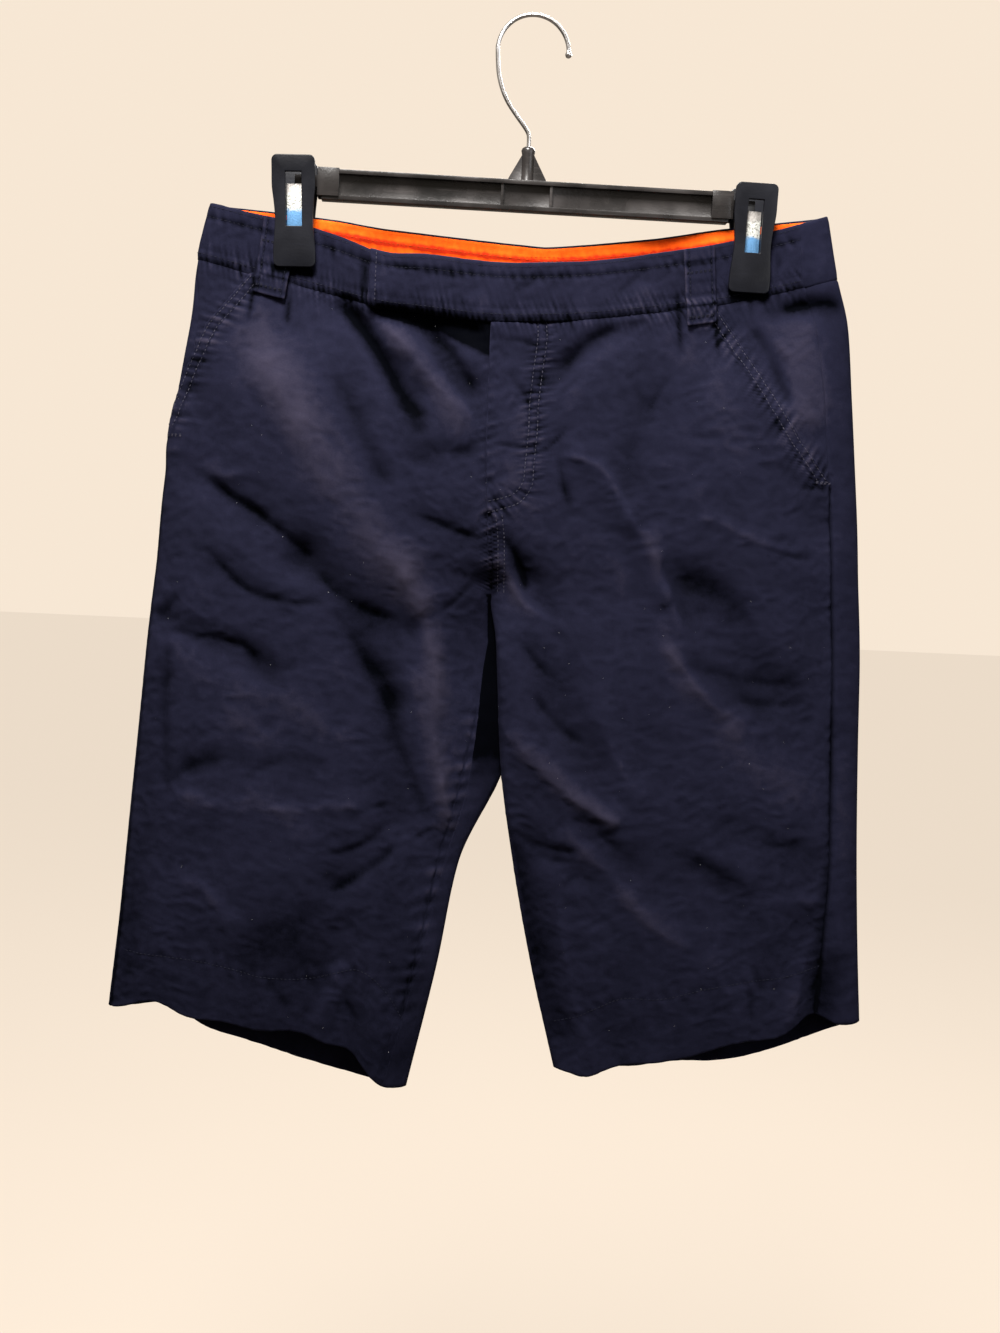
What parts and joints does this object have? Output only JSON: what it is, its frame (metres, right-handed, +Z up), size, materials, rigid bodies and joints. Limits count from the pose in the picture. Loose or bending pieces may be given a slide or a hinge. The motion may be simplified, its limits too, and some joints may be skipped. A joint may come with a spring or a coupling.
{
  "type": "bermuda shorts on a clip hanger",
  "caption": "Flat-front twill bermuda shorts with slant pockets, belt loops and a tab waistband, hung by the waist from a clip hanger with a wire hook.",
  "frame": {"origin": "the inside top of the hanger's hook, where a rail bears, on the hanger's middle line", "axes": "+Z up, -Y the way the fronts of the shorts face, +X towards the wearer's left side"},
  "size_m": [0.5064, 0.0508, 0.7016],
  "materials": {
    "navy_twill": "dark navy cotton twill, matt",
    "orange_facing": "bright orange cotton facing, matt",
    "black_plastic": "black moulded plastic, satin",
    "bright_steel": "bright plated steel"
  },
  "bodies": {
    "root": {"front_right": "navy_twill", "back_right": "navy_twill", "pocket_facing_right": "navy_twill", "front_left": "navy_twill", "back_left": "navy_twill", "pocket_facing_left": "navy_twill", "waistband_front_right": "navy_twill", "waistband_front_left": "navy_twill", "waistband_back": "navy_twill", "belt_loop_front_right": "navy_twill", "belt_loop_front_left": "navy_twill", "belt_loop_back_right": "navy_twill", "belt_loop_back_left": "navy_twill", "belt_loop_back_centre": "navy_twill", "facing_front_right": "orange_facing", "facing_front_left": "orange_facing", "facing_back": "orange_facing", "hanger_bar": "black_plastic", "clip_front_jaw_right": "black_plastic", "clip_rear_jaw_right": "black_plastic", "clip_front_jaw_left": "black_plastic", "clip_rear_jaw_left": "black_plastic", "hanger_hook": "bright_steel", "clip_spring_right": "bright_steel", "clip_spring_left": "bright_steel"}
  },
  "joints": []
}
